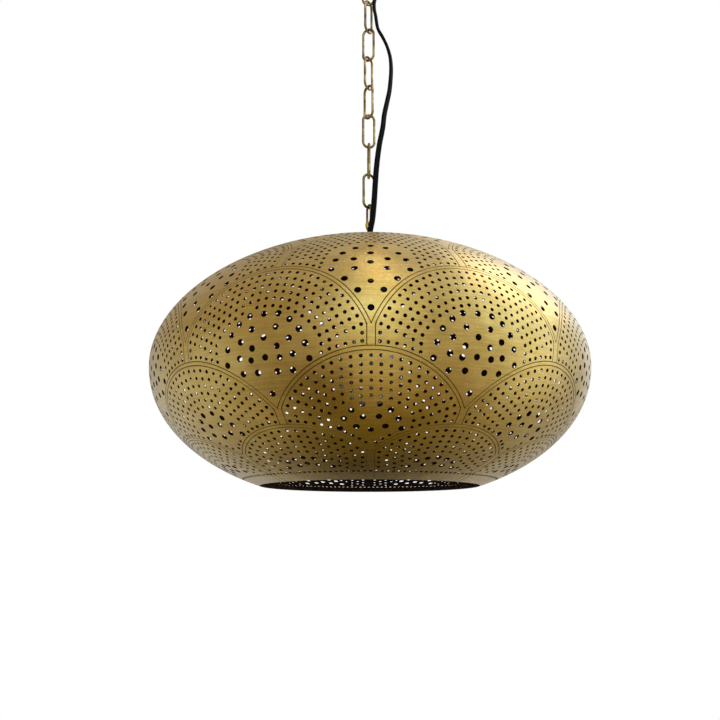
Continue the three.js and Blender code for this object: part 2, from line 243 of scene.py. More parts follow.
# Painted shade: the shade's inside is made dark brown so its hollow stays dark however it is lit.
brass_inside_painted_shade = metal("brass_inside_painted_shade", INSIDE_PAINTED_SHADE_TONES, (0.45, 0.6), 0.3, 45.0, spun=0.3)
# Painted shade: the walls of the holes are made near black.
brass_cut_painted_shade = metal("brass_cut_edge", CUT_PAINTED_SHADE_TONES, (0.6, 0.75), 0.2)
brass_engraved = metal("brass_engraved", ENGRAVED_TONES, (0.45, 0.6), 0.2)

# Finishes of the other pieces: a material and the slot it fills.
turned_brass = (metal("brass_turned", SHADE_TONES, (0.26, 0.4), 0.25, 70.0, spun=0.3), "aged_brass")
dark_brass = (metal("brass_links", LINK_TONES, (0.14, 0.26), 0.12, 90.0), "dark_brass")
bright_brass = (metal("brass_bright", BRIGHT_TONES, (0.2, 0.32), 0.1, 150.0), "bright_brass")
cap_nickel = (metal("cap_nickel", NICKEL_TONES, (0.2, 0.3), 0.15, 200.0), "bright_brass")
zinc = (metal("zinc_plate", ZINC_TONES, (0.28, 0.42), 0.2, 220.0), "zinc_steel")
cord_black = (
    plastic("cord_skin", (0.0035, 0.0032, 0.003), (0.5, 0.62), 0.12, specular=0.07), "cord_black",
)
black_plastic = (plastic("black_shell", (0.02, 0.02, 0.02), (0.36, 0.5)), "black_plastic")
white_ceramic = (plastic("white_ceramic", (0.82, 0.8, 0.75), (0.22, 0.34), 0.1), "white_plastic")
phosphor = (plastic("phosphor_coat", (0.8, 0.55, 0.16), (0.5, 0.65), 0.35), "filament")
glass = (clear_glass("clear_glass"), "clear_glass")


# ---- Mesh helpers -------------------------------------------------------------------------------
# A skin is a pair of lists, points and faces.


def joined(*skins):
    verts, faces = [], []
    for more_verts, more_faces in skins:
        start = len(verts)
        verts.extend(more_verts)
        faces.extend(tuple(start + corner for corner in face) for face in more_faces)
    return verts, faces


def add_piece(name, mesh, body, node):
    """body is what the piece rides on, or None, which leaves it on no body. node is the CAD node that
    it stands for, if any."""
    piece = bpy.data.objects.new(name, mesh)
    bpy.context.scene.collection.objects.link(piece)
    if body is not None:
        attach(piece, body)
    if node is not None:
        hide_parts(node)
    return piece


def add_skin(name, skin, finish, body, node, smooth):
    """smooth is the angle in degrees up to which edges are shaded round."""
    verts, faces = skin
    material, slot = finish
    mesh = bpy.data.meshes.new(name)
    mesh.from_pydata([tuple(v) for v in verts], [], [tuple(f) for f in faces])
    mesh.materials.append(material)
    work = bmesh.new()
    work.from_mesh(mesh)
    bmesh.ops.recalc_face_normals(work, faces=work.faces)
    work.to_mesh(mesh)
    work.free()
    mesh.shade_smooth()
    mesh.set_sharp_from_angle(angle=math.radians(smooth))
    mesh.update()
    return add_piece(name, mesh, body, node)


def angles_round(count, start=0.0):
    """Angles in count even steps round a circle; start is in steps."""
    return [2 * math.pi * (step + start) / count for step in range(count)]


def tube(rings, closed=False):
    """Skins a list of rings of equal length; open tubes get an end cap each."""
    count = len(rings[0])
    verts = [point for ring in rings for point in ring]
    faces = []
    spans = len(rings) if closed else len(rings) - 1
    for span in range(spans):
        here = span * count
        there = ((span + 1) % len(rings)) * count
        for side in range(count):
            after = (side + 1) % count
            faces.append((here + side, here + after, there + after, there + side))
    if not closed:
        faces.append(tuple(reversed(range(count))))
        faces.append(tuple(range(len(verts) - count, len(verts))))
    return verts, faces


def wire_loop(path, radius, sides):
    """Round wire along a closed path, in a frame that doesn't twist. radius is a number, or a
    function of the share of the path."""
    points = [Vector(p) for p in path]
    count = len(points)
    rings = []
    normal = None
    for index, point in enumerate(points):
        tangent = (points[(index + 1) % count] - points[index - 1]).normalized()
        if normal is None:
            trial = Vector((0, 1, 0)) if abs(tangent.y) < 0.9 else Vector((1, 0, 0))
            normal = tangent.cross(trial).normalized()
        normal = (normal - tangent * normal.dot(tangent)).normalized()
        across = tangent.cross(normal)
        thick = radius(index / count) if callable(radius) else radius
        rings.append([
            point + thick * (math.cos(angle) * normal + math.sin(angle) * across)
            for angle in angles_round(sides)
        ])
    return tube(rings, True)


# ---- Cord ---------------------------------------------------------------------------------------

CORD_WIDTH = 0.0056
CORD_THICKNESS = 0.0036
CORD_STEP = 0.0014
CORD_SIDES = 28
# The cord's flat side turns by this many degrees between these two heights.
CORD_TWIST = 75
CORD_TWIST_LOW = -0.325
CORD_TWIST_HIGH = -0.14
# The same points as the CAD cord's, in millimetres, top end first.
CORD_ROUTE = [
    (14, 0, -13.3), (14, 0, -24), (14, 0, -36), (14, -0.2, -47), (13.3, -1.2, -58),
    (11, -3, -70), (8.4, -4.6, -80), (6, -5.2, -90), (6, -5, -98), (7.4, -4.8, -106),
    (9.7, -4.8, -121), (14.3, -5, -130.5), (18.9, -5, -141.5), (22, -5, -154), (22.8, -5, -166.5),
    (22.2, -5, -179), (20.8, -5, -192), (18.4, -5, -204), (15.7, -5, -217), (14, -5, -231.5),
    (10.4, -5.2, -251), (7.6, -5.6, -274), (6.2, -6.4, -293), (5, -7.6, -312), (3.2, -9, -331),
    (1.1, -9.5, -342.5), (0.4, -6.1, -348.5), (0.1, -2.7, -354), (0, -0.6, -359), (0, 0, -364),
    (0, 0, -378), (0, 0, -393.7),
]
# Each stretch ends at the height where the cord passes from one moving body to the next: its
# lowest z, the bodies it bends between, and the heights where that bend starts and ends.
CORD_STRETCHES = [
    (-88, ("ceiling", "top_link"), (-52, -84)),
    (-123, ("top_link", "chain"), (-88, -120)),
    (-287, ("chain",), None),
    (-322, ("chain", "connector"), (-290, -320)),
    (-1000, ("connector", "lantern"), (-323, -345)),
]


def smooth_route(points, per_span=24):
    """A centripetal Catmull-Rom curve through points."""
    knots = [np.array(p, float) for p in points]
    knots = [2 * knots[0] - knots[1], *knots, 2 * knots[-1] - knots[-2]]
    route = []
    for index in range(1, len(knots) - 2):
        a, b, c, d = knots[index - 1:index + 3]
        first, second, third = (np.linalg.norm(q - p) ** 0.5 for p, q in ((a, b), (b, c), (c, d)))
        start = second * ((b - a) / first - (c - a) / (first + second) + (c - b) / second)
        end = second * ((c - b) / second - (d - b) / (second + third) + (d - c) / third)
        cubic = 2 * b - 2 * c + start + end
        square = 3 * c - 3 * b - 2 * start - end
        for step in range(per_span):
            t = step / per_span
            route.append(b + start * t + square * t * t + cubic * t ** 3)
    route.append(knots[-2])
    return np.array(route)


def lengths_along(points):
    """How far along a path each of its points is."""
    steps = np.linalg.norm(np.diff(points, axis=0), axis=1)
    return np.concatenate([[0], np.cumsum(steps)])


def resampled(route, step):
    lengths = lengths_along(route)
    count = max(2, round(lengths[-1] / step))
    places = np.linspace(0, lengths[-1], count + 1)
    return np.stack([np.interp(places, lengths, route[:, axis]) for axis in range(3)], axis=1)


def cord_ring(point, tangent):
    """The section of a flat twin cord: rounded edges, and a shallow waist between its cores."""
    share = (point[2] - CORD_TWIST_LOW) / (CORD_TWIST_HIGH - CORD_TWIST_LOW)
    turn = math.radians(CORD_TWIST * min(1, max(0, share)))
    broad = Vector((math.cos(turn), math.sin(turn), 0))
    tangent = Vector(tangent).normalized()
    thin = broad.cross(tangent).normalized()
    broad = tangent.cross(thin)
    ring = []
    for angle in angles_round(CORD_SIDES):
        reach = math.cos(angle)
        waist = 1 - 0.26 * math.exp(-(reach / 0.3) ** 2)
        lift = math.copysign(abs(math.sin(angle)) ** 0.85, math.sin(angle)) * waist
        ring.append(Vector(point) + CORD_WIDTH / 2 * reach * broad + CORD_THICKNESS / 2 * lift * thin)
    return ring


def add_cord():
    route = resampled(smooth_route(CORD_ROUTE) * MM, CORD_STEP)
    tangents = np.gradient(route, axis=0)
    rings = [cord_ring(point, tangent) for point, tangent in zip(route, tangents)]
    start = 0
    for number, (low, bodies, bend) in enumerate(CORD_STRETCHES, 1):
        end = start + 1
        while end < len(route) - 1 and route[end][2] > low * MM:
            end += 1
        skin = tube(rings[start:end + 1])
        body = bodies[0] if bend is None else None
        piece = add_skin(f"cord_stretch_{number}", skin, cord_black, body, f"power_cord_{number}", 50)
        if bend is not None:
            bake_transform(piece)
        start = end


add_cord()


# ---- Shade: outline -----------------------------------------------------------------------------
# Places on the shade are (turn, run): degrees round the axis from the front, and millimetres up
# the outline from the rim.

EQUATOR_Z = -480.0
SHADE_RADIUS = 200.0
SHADE_HALF_HEIGHT = 119.5
CROWN_EXPONENT = 1.9
FOOT_EXPONENT = 2.07
RIM_DROP = 105.0
SHADE_WALL = 0.55
CROWN_HOLE_RADIUS = 5.7
# Degrees that the whole pattern is turned from the front.
PATTERN_TURN = 0.37
SECTORS = 8
HALF_SECTOR = 180 / SECTORS
# The scale of the flat map that the holes and lines are laid out on.
FLAT_SCALE = 1000


class Outline:
    """Radius, height and direction of the shade's outline by run."""

    def __init__(self):
        rim = -math.asin((RIM_DROP / SHADE_HALF_HEIGHT) ** (FOOT_EXPONENT / 2))
        crown = math.acos((CROWN_HOLE_RADIUS / SHADE_RADIUS) ** (CROWN_EXPONENT / 2))
        t = np.linspace(rim, crown, 6001)
        exponent = np.where(t >= 0, CROWN_EXPONENT, FOOT_EXPONENT)
        self.radius = SHADE_RADIUS * np.cos(t) ** (2 / exponent)
        self.height = np.sign(t) * SHADE_HALF_HEIGHT * np.abs(np.sin(t)) ** (2 / exponent)
        steps = np.hypot(np.diff(self.radius), np.diff(self.height))
        self.run = np.concatenate([[0], np.cumsum(steps)])
        middle = (self.radius[1:] + self.radius[:-1]) / 2
        self.level = np.concatenate([[0], np.cumsum(steps / middle)])
        self.slope_r = np.gradient(self.radius, self.run)
        self.slope_h = np.gradient(self.height, self.run)
        self.total = float(self.run[-1])

    def r(self, run):
        return np.interp(run, self.run, self.radius)

    def h(self, run):
        return np.interp(run, self.run, self.height)

    def width(self, run, turn):
        """Millimetres round the shade at this run that span the turn."""
        return self.r(run) * math.radians(turn)

    def flat(self, turn, run):
        """The place on a flat map on which small circles stay round."""
        level = np.interp(run, self.run, self.level)
        return FLAT_SCALE * np.radians(turn), FLAT_SCALE * level

    def unflat(self, u, v):
        return np.degrees(u / FLAT_SCALE), np.interp(v / FLAT_SCALE, self.level, self.run)

    def direction(self, run):
        """The outline's unit direction, as steps outwards and upwards."""
        out = np.interp(run, self.run, self.slope_r)
        up = np.interp(run, self.run, self.slope_h)
        length = np.hypot(out, up)
        return out / length, up / length

    def around(self, turn, out, up):
        angle = np.radians(turn + PATTERN_TURN)
        return np.stack([out * np.sin(angle), -out * np.cos(angle), up], axis=-1)

    def point(self, turn, run, inset=0.0):
        out, up = self.direction(run)
        radius = self.r(run) - inset * up
        return self.around(turn, radius, self.h(run) + inset * out + EQUATOR_Z) * MM

    def normal(self, turn, run):
        out, up = self.direction(run)
        return self.around(turn, up, -out)

    def reach(self, turn, run, centre):
        """Straight distance from (turn, run) to a compass centre (0, centre)."""
        r1, r2 = self.r(run), self.r(centre)
        rise = self.h(run) - self.h(centre)
        square = r1 * r1 + r2 * r2 - 2 * r1 * r2 * np.cos(np.radians(turn)) + rise * rise
        return np.sqrt(np.maximum(0, square))


outline = Outline()


# ---- Shade: pattern -----------------------------------------------------------------------------

# Radii of the holes, how much narrower they are inside, how far each one strays from its place,
# and how much its size varies.
SMALL_HOLE = 1.5
BIG_HOLE = 2.5
HOLE_TAPER = 0.14
SMALL_WANDER = 0.2
BIG_WANDER = 0.3
RIM_WANDER = 0.1
SIZE_SPREAD = 0.06
GROOVE_WIDTH = 0.75
GROOVE_DEPTH = 0.3
GROOVE_SHIFTS = (-GROOVE_WIDTH / 2, 0, GROOVE_WIDTH / 2)
LINE_SPACING = 2.8
INNER_LINE_GAP = 3.0
LINE_STEP = 3.2
ROW_STEP = 0.4
ROW_START = 6.3
ROW_BORDER_GAP = 6.2
BESIDE_ROW_START = 2.9
BESIDE_ROW_SPACING = 6.0
RIM_ROW_RUN = 16.0
RIM_ROW_COUNT = 20
CROWN_ROW_RUN = 366.0
CROWN_ROW_COUNT = 6
CROWN_LINE_RUNS = (372.5, 372.5 + LINE_SPACING)
# The least metal left beside a hole: to the next one, to the border between two circles, to the
# circle that lies over it, to the sector's edge, and to the edge of the rim's and crown's rows.
HOLE_BRIDGE = 1.1
BORDER_BRIDGE = 0.9
COVER_BRIDGE = 1.2
SECTOR_BRIDGE = 0.7
ROW_BRIDGE = 2.6

# Tiers of overlapping compass circles, the lowest first. A lower tier lies over the one above.
# turn: where the circles' centres are, 0 or half a sector. centre: run of the centre. reach: the
# outer circle's radius. rows: small holes inside it, from the outermost, pitch apart and spacing
# from hole to hole. big: (turn, run) of each large hole from the circle's own middle line; one
# with a turn has a twin on the other side.
TIERS = [
    {
        "turn": HALF_SECTOR, "centre": 18.2, "reach": 58.3, "rows": 5, "pitch": 5.9, "spacing": 7.0,
        "big": [(0, 38.8), (3.6, 36.5), (6.9, 33), (3.7, 27.2), (9, 24.7), (0, 29.7)],
    },
    {
        "turn": 0, "centre": 64.2, "reach": 70.3, "rows": 6, "pitch": 5.75, "spacing": 7.1,
        "big": [
            (2.0, 92.7), (4.7, 87.7), (2.0, 81.7), (6.7, 80.1), (3.7, 72.7), (7.9, 70.8), (0, 69.5),
        ],
    },
    {
        "turn": HALF_SECTOR, "centre": 120.2, "reach": 82.6, "rows": 6, "pitch": 5.75, "spacing": 6.4,
        "big": [
            (0, 162.5), (3.4, 161.6), (5.85, 156.7), (2.85, 151.7), (7.85, 149.3), (0, 145.2),
            (5.6, 143.3), (9.1, 139.1), (2.85, 138.3), (0, 130.9), (6.2, 131.9), (3.4, 129.7),
            (9.7, 128.1), (6.0, 120.1), (2.4, 120.1), (0, 103.5),
        ],
    },
    {
        "turn": 0, "centre": 201.2, "reach": 76.5, "rows": 6, "pitch": 5.75, "spacing": 6.4,
        "big": [
            (0, 162.7), (2.7, 177.3), (0, 185.2), (5.6, 188.2), (3.7, 199), (8.8, 198.1),
            (0, 206.4), (3.9, 211.2), (8.3, 210.2), (6.8, 220.2), (0, 220.2), (3.9, 229.2),
            (0, 233.2),
        ],
    },
    {
        "turn": HALF_SECTOR, "centre": 270.2, "reach": 60, "rows": 4, "pitch": 5.75, "spacing": 6.4,
        "big": [
            (0, 262.7), (2.9, 272.2), (8.6, 277.2), (0, 281.2), (5.6, 282.2), (2.9, 291.2),
            (0, 299.7),
        ],
    },
    {
        "turn": 0, "centre": 329.2, "reach": 40, "rows": 2, "pitch": 5.75, "spacing": 6.2,
        "big": [(0, 329.2), (6.5, 334.7), (0, 341.7)],
    },
]
# The tiers from this number up have every other row moved along by half a spacing.
STAGGERED_FROM = 3


def from_centre(tier, turn):
    """The turn from the nearest centre of this tier's circles; turn lies in the sector."""
    return turn - math.copysign(tier["turn"], turn)


def in_sector(tier, offset, side):
    """The sector's turn for a place offset degrees to one side of a circle's middle line."""
    return side * (offset - tier["turn"])


def covered(index, turn, run, margin=0.0):
    """True if a lower tier lies over this place of tier number index."""
    for tier in TIERS[:index]:
        if outline.reach(from_centre(tier, turn), run, tier["centre"]) < tier["reach"] + margin:
            return True
    return False


def arc_side(centre, reach, step):
    """One side of the circle round (0, centre), from its top down, as (turn, run) places about
    step apart."""
    runs = outline.run
    distances = outline.reach(0.0, runs, centre)
    above = runs > centre
    top = float(np.interp(reach, distances[above], runs[above]))
    low = float(np.interp(reach, distances[~above][::-1], runs[~above][::-1], right=0.0))
    count = max(8, int(math.pi * reach / step))
    places = [(0.0, top)]
    for index in range(1, count + 1):
        run = top + (low - top) * (1 - math.cos(math.pi * index / count)) / 2
        r1, r2 = float(outline.r(run)), float(outline.r(centre))
        rise = float(outline.h(run) - outline.h(centre))
        cosine = (r1 * r1 + r2 * r2 + rise * rise - reach * reach) / (2 * r1 * r2)
        places.append((math.degrees(math.acos(min(1, max(-1, cosine)))), run))
    return places


def beside_border(places, depth):
    """The same curve kept a distance from the border with the next circle. The line that has no
    distance to keep stops just past the border."""
    kept = []
    for offset, run in places:
        most = HALF_SECTOR - math.degrees(depth / float(outline.r(run)))
        if offset <= most:
            kept.append((offset, run))
        elif depth > 0:
            kept.append((most, run))
        else:
            kept.append((offset, run))
            break
    return kept


def meeting(inner, outer):
    """Where a line from inner to outer crosses the sector's middle, turn 0."""
    share = inner[0] / (inner[0] - outer[0])
    return (0.0, inner[1] + (outer[1] - inner[1]) * share)


def visible_line(index, side_places, side):
    """The part of a circle's side that lies in the sector and that no lower tier covers."""
    tier = TIERS[index]
    line = []
    for offset, run in side_places:
        turn = in_sector(tier, offset, side)
        past_border = offset > HALF_SECTOR
        if past_border and tier["turn"]:
            line.append(meeting(line[-1], (turn, run)))
            break
        line.append((turn, run))
        if past_border or covered(index, turn, run):
            break
    return line


def groove_lines():
    """Every engraved line as (turn, run) places: its two edges and its bottom."""
    lines = []
    for index, tier in enumerate(TIERS):
        for reach in (tier["reach"], tier["reach"] - LINE_SPACING):
            for shift in GROOVE_SHIFTS:
                side_places = arc_side(tier["centre"], reach + shift, LINE_STEP)
                if reach < tier["reach"]:
                    side_places = beside_border(side_places, INNER_LINE_GAP - shift)
                lines.extend(visible_line(index, side_places, side) for side in (-1, 1))
    for run in CROWN_LINE_RUNS:
        for shift in GROOVE_SHIFTS:
            lines.append([(turn, run + shift) for turn in np.linspace(-HALF_SECTOR, HALF_SECTOR, 9)])
    return lines


def groove_depth(turn, run):
    """How deep the engraving is at a place."""
    gaps = [abs(run - line) for line in CROWN_LINE_RUNS]
    for index, tier in enumerate(TIERS):
        if covered(index, turn, run, -0.2):
            break
        offset = abs(from_centre(tier, turn))
        distance = outline.reach(offset, run, tier["centre"])
        to_border = outline.width(run, HALF_SECTOR - offset)
        inner = tier["reach"] - LINE_SPACING
        gaps.append(abs(distance - tier["reach"]))
        if to_border > INNER_LINE_GAP:
            gaps.append(abs(distance - inner))
        if distance < inner:
            gaps.append(abs(to_border - INNER_LINE_GAP))
    return GROOVE_DEPTH * max(0.0, 1 - min(gaps) / (GROOVE_WIDTH / 2))


class Holes:
    """The holes of one sector, each (turn, run, radius)."""

    def __init__(self, seed):
        self.kept = []
        self.random = random.Random(seed)

    def clear_of_others(self, turn, run, radius):
        x = outline.width(run, turn)
        for other_turn, other_run, other_radius in self.kept:
            room = radius + other_radius + HOLE_BRIDGE
            if abs(run - other_run) < room:
                gap = x - outline.width(run, other_turn)
                if gap * gap + (run - other_run) ** 2 < room * room:
                    return False
        return True

    def in_tier(self, index, turn, run, radius):
        """True if the hole lies on the bare part of this tier's circle, clear of its borders."""
        offset = abs(from_centre(TIERS[index], turn))
        if outline.width(run, HALF_SECTOR - offset) < radius + BORDER_BRIDGE:
            return False
        if run < RIM_ROW_RUN + radius + ROW_BRIDGE or run > CROWN_ROW_RUN - radius - ROW_BRIDGE:
            return False
        return not covered(index, turn, run, radius + COVER_BRIDGE)

    def add(self, index, turn, run, radius, wander):
        """Adds the hole if there is room for it. index is its tier's number, or None. Holes on the
        sector's edge wander in the same way in every sector, and only along it."""
        on_edge = abs(abs(turn) - HALF_SECTOR) < 1e-6
        in_middle = abs(turn) < 1e-6
        if index is not None and not self.in_tier(index, turn, run, radius):
            return
        if not on_edge and outline.width(run, HALF_SECTOR - abs(turn)) < radius + SECTOR_BRIDGE:
            return
        if not self.clear_of_others(turn, run, radius):
            return
        if on_edge:
            run += random.Random(round(run * 100)).uniform(-wander, wander)
        else:
            run += self.random.uniform(-wander, wander)
            sway = self.random.uniform(-wander, wander)
            turn += math.degrees((sway * 0.4 if in_middle else sway) / outline.r(run))
            radius *= self.random.uniform(1 - SIZE_SPREAD, 1 + SIZE_SPREAD)
        self.kept.append((turn, run, radius))

    def add_level_row(self, count, run, wander):
        for step in range(count + 1):
            turn = -HALF_SECTOR + 2 * HALF_SECTOR * step / count
            self.add(None, turn, run, SMALL_HOLE, wander)

    def add_row(self, index, tier, places, spacing, start=0.0, wanted=None):
        """Small holes of tier number index along places, which belong to the given tier's circles.
        start is how many spacings the first hole is from the middle line."""
        lengths = lengths_along(outline.point(*np.array(places).T) / MM)
        turns, runs = np.array(places).T
        for along in np.arange(start * spacing, lengths[-1], spacing):
            offset = float(np.interp(along, lengths, turns))
            run = float(np.interp(along, lengths, runs))
            if offset > HALF_SECTOR:
                continue
            for side in (-1, 1):
                if along == 0 and side == 1 and tier["turn"] == 0:
                    continue
                turn = in_sector(tier, offset, side)
                if wanted is None or wanted(turn, run):
                    self.add(index, turn, run, SMALL_HOLE, SMALL_WANDER)


def sector_holes(seed):
    holes = Holes(seed)
    holes.add_level_row(RIM_ROW_COUNT, RIM_ROW_RUN, RIM_WANDER)
    holes.add_level_row(CROWN_ROW_COUNT, CROWN_ROW_RUN, 0.0)
    for index, tier in enumerate(TIERS):
        for offset, run in tier["big"]:
            for side in (-1, 1):
                if offset == 0 and side == 1 and tier["turn"] == 0:
                    continue
                holes.add(index, in_sector(tier, offset, side), run, BIG_HOLE, BIG_WANDER)
    for index, tier in enumerate(TIERS[1:], 1):
        below = TIERS[index - 1]
        inner = tier["reach"] - ROW_START - tier["rows"] * tier["pitch"]

        def in_band(turn, run):
            distance = outline.reach(from_centre(tier, turn), run, tier["centre"])
            return index == 1 or distance > inner

        places = arc_side(below["centre"], below["reach"] + BESIDE_ROW_START, ROW_STEP)
        holes.add_row(index, below, places, BESIDE_ROW_SPACING, 0.0, in_band)
    for index, tier in enumerate(TIERS):
        for row in range(tier["rows"]):
            depth = row * tier["pitch"]
            arc = arc_side(tier["centre"], tier["reach"] - ROW_START - depth, ROW_STEP)
            start = 0.5 if index >= STAGGERED_FROM and row % 2 else 0.0
            places = beside_border(arc, ROW_BORDER_GAP + depth)
            holes.add_row(index, tier, places, tier["spacing"], start)
    return holes.kept


# ---- Shade: mesh --------------------------------------------------------------------------------

# Spacing of the extra points on the plain metal, and how far they stay from lines and holes.
EDGE_STEP = 7.0
FILL_STEP = 7.0
FILL_ROWS = 6.2
FILL_START = 6.5
FILL_GAP = 3.0
FILL_HOLE_GAP = 3.3
BIG_HOLE_SIDES = 12
SMALL_HOLE_SIDES = 8
# The inside and the walls of the holes get dark materials that hold painted shade.
SHADE_MATERIALS = (brass_outside, brass_inside_painted_shade, brass_cut_painted_shade, brass_engraved)
OUTER_SLOT, INNER_SLOT, CUT_SLOT, ENGRAVED_SLOT = range(4)


def hole_polygon(turn, run, radius):
    sides = BIG_HOLE_SIDES if radius > (SMALL_HOLE + BIG_HOLE) / 2 else SMALL_HOLE_SIDES
    places = []
    for side, angle in enumerate(angles_round(sides)):
        edge_run = run + radius * math.cos(angle)
        offset = radius * math.sin(angle) if side % (sides // 2) else 0.0
        places.append((turn - math.degrees(offset / float(outline.r(edge_run))), edge_run))
    return places


def edge_runs(holes, lines):
    """Runs of the points along the sector's straight edges: hole edges, line ends, and fill."""
    fixed = {0.0, outline.total}
    for turn, run, radius in holes:
        if abs(turn + HALF_SECTOR) < 1e-6:
            fixed.update((run - radius, run + radius))
    for line in lines:
        fixed.update(float(run) for turn, run in line if abs(turn + HALF_SECTOR) < 1e-6)
    fixed = sorted(fixed)
    runs = [fixed[0]]
    for run in fixed[1:]:
        start = runs[-1]
        gap = run - start
        if gap > 1e-6:
            parts = max(1, math.ceil(gap / EDGE_STEP))
            runs.extend(start + gap * part / parts for part in range(1, parts + 1))
    return runs


def fill_points(holes, lines):
    """Extra places on the plain metal, clear of holes, lines and the sector's edges."""
    taken = [(run, radius + FILL_HOLE_GAP, turn) for turn, run, radius in holes]
    mark_turns, mark_runs = np.array([place for line in lines for place in line]).T
    points = []
    run = FILL_START
    row = 0
    while run < outline.total - 4:
        radius = float(outline.r(run))
        count = max(3, round(2 * radius * math.radians(HALF_SECTOR) / FILL_STEP))
        for step in range(1, count + 1):
            turn = -HALF_SECTOR + 2 * HALF_SECTOR * (step - 0.5 * (row % 2) - 0.25) / count
            if radius * math.radians(HALF_SECTOR - abs(turn)) < FILL_GAP:
                continue
            if any(
                (radius * math.radians(turn - other_turn)) ** 2 + (run - other_run) ** 2 <= room * room
                for other_run, room, other_turn in taken
                if abs(run - other_run) < room
            ):
                continue
            gaps = np.hypot(radius * np.radians(turn - mark_turns), run - mark_runs)
            if gaps.min() > FILL_GAP:
                points.append((turn, run))
        run += FILL_ROWS
        row += 1
    return points


def sector_mesh(seed, lines):
    """One sector's skin: places as (turn, run), triangles, and the holes."""
    holes = sector_holes(seed)
    places = []
    edges = []

    def put(new):
        start = len(places)
        places.extend(new)
        return list(range(start, len(places)))

    runs = edge_runs(holes, lines)
    foot = [(turn, 0.0) for turn in np.linspace(-HALF_SECTOR, HALF_SECTOR, 15)]
    head = [(turn, outline.total) for turn in np.linspace(HALF_SECTOR, -HALF_SECTOR, 5)]
    right = [(HALF_SECTOR, run) for run in runs[1:-1]]
    left = [(-HALF_SECTOR, run) for run in reversed(runs[1:-1])]
    loops = [put(foot + right + head + left)]
    loops.extend(put(hole_polygon(*hole)) for hole in holes)
    for line in lines:
        ids = put(line)
        edges.extend(zip(ids, ids[1:]))
    put(fill_points(holes, lines))
    u, v = outline.flat(*np.array(places, float).T)
    flat = [Vector((float(a), float(b))) for a, b in zip(u, v)]
    out_verts, _, out_faces, _, _, origins = delaunay_2d_cdt(flat, edges, loops, 0, 1e-4)
    turns, runs = outline.unflat(*np.array([tuple(p) for p in out_verts]).T)
    # A triangle that comes from the first loop alone is metal; the others fill a hole.
    faces = [face for face, origin in zip(out_faces, origins) if list(origin) == [0]]
    return np.stack([turns, runs], axis=1), faces, holes


def joined_sectors(seeds):
    """Sectors side by side: turns and runs of the points, triangles, and holes."""
    lines = groove_lines()
    turns, runs, faces, all_holes = [], [], [], []
    last_edge = []
    for number, seed in enumerate(seeds):
        places, triangles, holes = sector_mesh(seed, lines)
        shift = number * 2 * HALF_SECTOR
        all_holes.extend((turn + shift, run, radius) for turn, run, radius in holes)
        used = sorted({corner for face in triangles for corner in face})
        sides = []
        for edge in (-HALF_SECTOR, HALF_SECTOR):
            on_edge = [i for i in used if abs(places[i][0] - edge) < 1e-5]
            sides.append(sorted(on_edge, key=lambda i: places[i][1]))
        shared = dict(zip(sides[0], last_edge))
        index = {}
        for i in used:
            if i in shared:
                index[i] = shared[i]
            else:
                index[i] = len(turns)
                turns.append(places[i][0] + shift)
                runs.append(places[i][1])
        faces.extend(tuple(index[i] for i in face) for face in triangles)
        last_edge = [index[i] for i in sides[1]]
    return np.array(turns), np.array(runs), faces, all_holes


def drawn_in(turns, runs, holes):
    """The same places on the inner skin, where each punched hole is a little narrower."""
    centres = KDTree(len(holes))
    for number, (turn, run, radius) in enumerate(holes):
        centres.insert((*outline.flat(turn, run), 0), number)
    centres.balance()
    u, v = outline.flat(turns, runs)
    for index in range(len(u)):
        centre, number, distance = centres.find((u[index], v[index], 0))
        radius = holes[number][2]
        on_rim = distance * float(outline.r(runs[index])) / FLAT_SCALE < radius * 1.06
        if on_rim:
            share = HOLE_TAPER / radius
            u[index] += (centre.x - u[index]) * share
            v[index] += (centre.y - v[index]) * share
    return outline.unflat(u, v)


def set_normals(mesh, polygons, slots, normals):
    """Shades the two skins with the outline's own normals, and the cut and engraved faces flat."""
    count = len(normals)
    flat = np.zeros(len(polygons) * 3)
    mesh.polygons.foreach_get("normal", flat)
    loop_normals = []
    for polygon, slot, face_normal in zip(polygons, slots, flat.reshape(-1, 3)):
        if slot == OUTER_SLOT:
            loop_normals.extend(normals[list(polygon)])
        elif slot == INNER_SLOT:
            loop_normals.extend(-normals[[corner - count for corner in polygon]])
        else:
            loop_normals.extend([face_normal] * len(polygon))
    mesh.normals_split_custom_set([tuple(n) for n in loop_normals])


def add_shade_part(name, first_turn, seeds, node):
    turns, runs, faces, holes = joined_sectors(seeds)
    local = (turns + HALF_SECTOR) % (2 * HALF_SECTOR) - HALF_SECTOR
    depths = np.array([groove_depth(float(turn), float(run)) for turn, run in zip(local, runs)])
    outer = outline.point(turns + first_turn, runs, depths)
    inner_turns, inner_runs = drawn_in(turns, runs, holes)
    inner = outline.point(inner_turns + first_turn, inner_runs, SHADE_WALL)
    count = len(turns)
    sides = dict.fromkeys(edge for a, b, c in faces for edge in ((a, b), (b, c), (c, a)))
    walls = [(b, a, a + count, b + count) for a, b in sides if (b, a) not in sides]
    inner_faces = [(c + count, b + count, a + count) for a, b, c in faces]
    polygons = faces + inner_faces + walls
    engraved = (depths[np.array(faces)] > 0.02).any(axis=1)
    slots = np.concatenate([
        np.where(engraved, ENGRAVED_SLOT, OUTER_SLOT),
        np.full(len(faces), INNER_SLOT),
        np.full(len(walls), CUT_SLOT),
    ]).astype(np.int32)
    mesh = bpy.data.meshes.new(name)
    mesh.from_pydata(np.concatenate([outer, inner]).tolist(), [], polygons)
    for material in SHADE_MATERIALS:
        mesh.materials.append(material)
    mesh.polygons.foreach_set("material_index", slots)
    mesh.polygons.foreach_set("use_smooth", np.ones(len(polygons), bool))
    mesh.update()
    set_normals(mesh, polygons, slots, outline.normal(turns + first_turn, runs))
    add_piece(name, mesh, "lantern", node)


